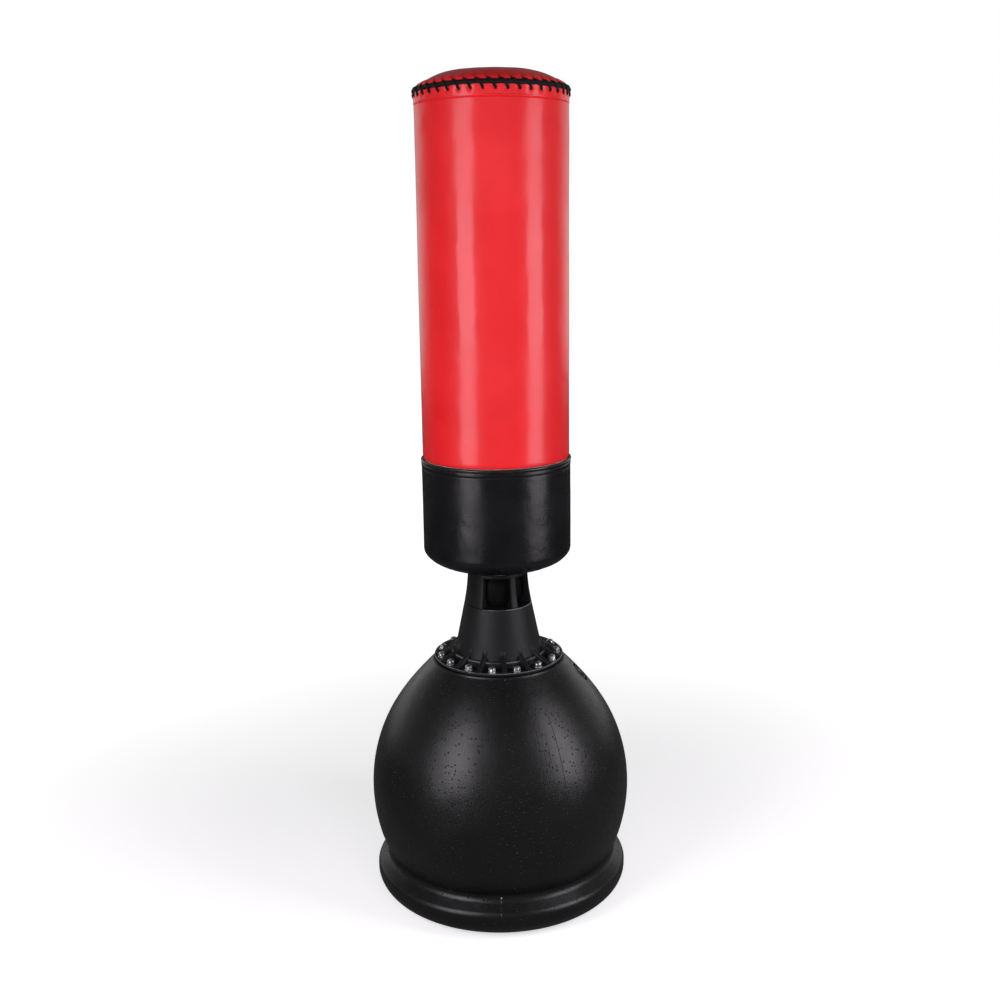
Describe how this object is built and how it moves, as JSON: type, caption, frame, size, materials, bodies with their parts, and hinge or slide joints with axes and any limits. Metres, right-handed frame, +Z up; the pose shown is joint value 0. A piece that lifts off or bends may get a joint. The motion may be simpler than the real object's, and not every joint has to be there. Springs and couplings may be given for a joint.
{
  "type": "free-standing punching bag",
  "caption": "Tall padded punching bag with a laced crown, on a flexible neck bolted to a round fillable floor base.",
  "frame": {"origin": "centre of the ring that stands on the floor, at floor height", "axes": "+Z up along the bag, -Y towards the front, +X towards the side with the filler cap"},
  "size_m": [0.5492, 0.5492, 1.6975],
  "materials": {
    "base_plastic": "satin blow-moulded polyethylene",
    "neck_plastic": "satin moulded polypropylene",
    "black_rubber": "dull moulded rubber",
    "zinc_steel": "bright zinc plate",
    "grey_plastic": "plain moulded plastic",
    "pale_foam": "closed-cell foam",
    "red_cover": "glossy coated polyurethane",
    "black_cover": "glossy coated polyurethane",
    "black_cord": "braided cord and cord piping"
  },
  "bodies": {
    "stand": {"base_shell": "base_plastic", "flange_gasket": "black_rubber", "backing_ring": "zinc_steel", "neck_cone": "neck_plastic", "ball_seat": "neck_plastic", "flex_cage": "black_rubber", "flange_bolt_01": "zinc_steel", "flange_bolt_02": "zinc_steel", "flange_bolt_03": "zinc_steel", "flange_bolt_04": "zinc_steel", "flange_bolt_05": "zinc_steel", "flange_bolt_06": "zinc_steel", "flange_bolt_07": "zinc_steel", "flange_bolt_08": "zinc_steel", "flange_bolt_09": "zinc_steel", "flange_bolt_10": "zinc_steel", "flange_bolt_11": "zinc_steel", "flange_bolt_12": "zinc_steel", "flange_bolt_13": "zinc_steel", "flange_bolt_14": "zinc_steel", "flange_bolt_15": "zinc_steel"},
    "ball": {"pivot_ball": "black_rubber"},
    "neck_top": {"neck_collar": "neck_plastic", "support_post": "zinc_steel", "post_cap": "grey_plastic"},
    "bag": {"bag_base_plate": "grey_plastic", "bag_inner_tube": "grey_plastic", "tube_plug": "grey_plastic", "foam_core": "pale_foam", "foam_wrap": "pale_foam", "crown_pad": "pale_foam", "cover_band": "black_cover", "cover_sleeve": "red_cover", "crown_panel": "red_cover", "band_piping": "black_cord", "rim_rope": "black_cord", "lacing_cord": "black_cord"},
    "seal": {"cap_seal": "black_rubber"},
    "cap": {"filler_cap": "base_plastic"}
  },
  "joints": [
    {"name": "sway_sideways", "type": "hinge", "parent": "stand", "child": "ball", "pos_m": [0, 0, 0.665], "axis": [0, 1, 0], "range_deg": [-15, 15], "stiffness_Nm_per_rad": 500, "deforming": ["flex_cage"]},
    {"name": "sway_forward", "type": "hinge", "parent": "ball", "child": "neck_top", "pos_m": [0, 0, 0.665], "axis": [1, 0, 0], "range_deg": [-15, 15], "stiffness_Nm_per_rad": 500},
    {"name": "bag_lift", "type": "slide", "parent": "neck_top", "child": "bag", "axis": [0, 0, 1], "range_m": [0, 0.29]},
    {"name": "cap_lift", "type": "slide", "parent": "stand", "child": "seal", "axis": [0.7447, 0, 0.6674], "range_m": [0, 0.0121]},
    {"name": "cap_turn", "type": "hinge", "parent": "seal", "child": "cap", "pos_m": [0.174, 0, 0.47425], "axis": [0.7447, 0, 0.6674], "range_deg": [0, 1080]}
  ],
  "couplings": [
    {"joint": "cap_lift", "follows": "cap_turn", "m_per_rad": 0.00063662}
  ]
}
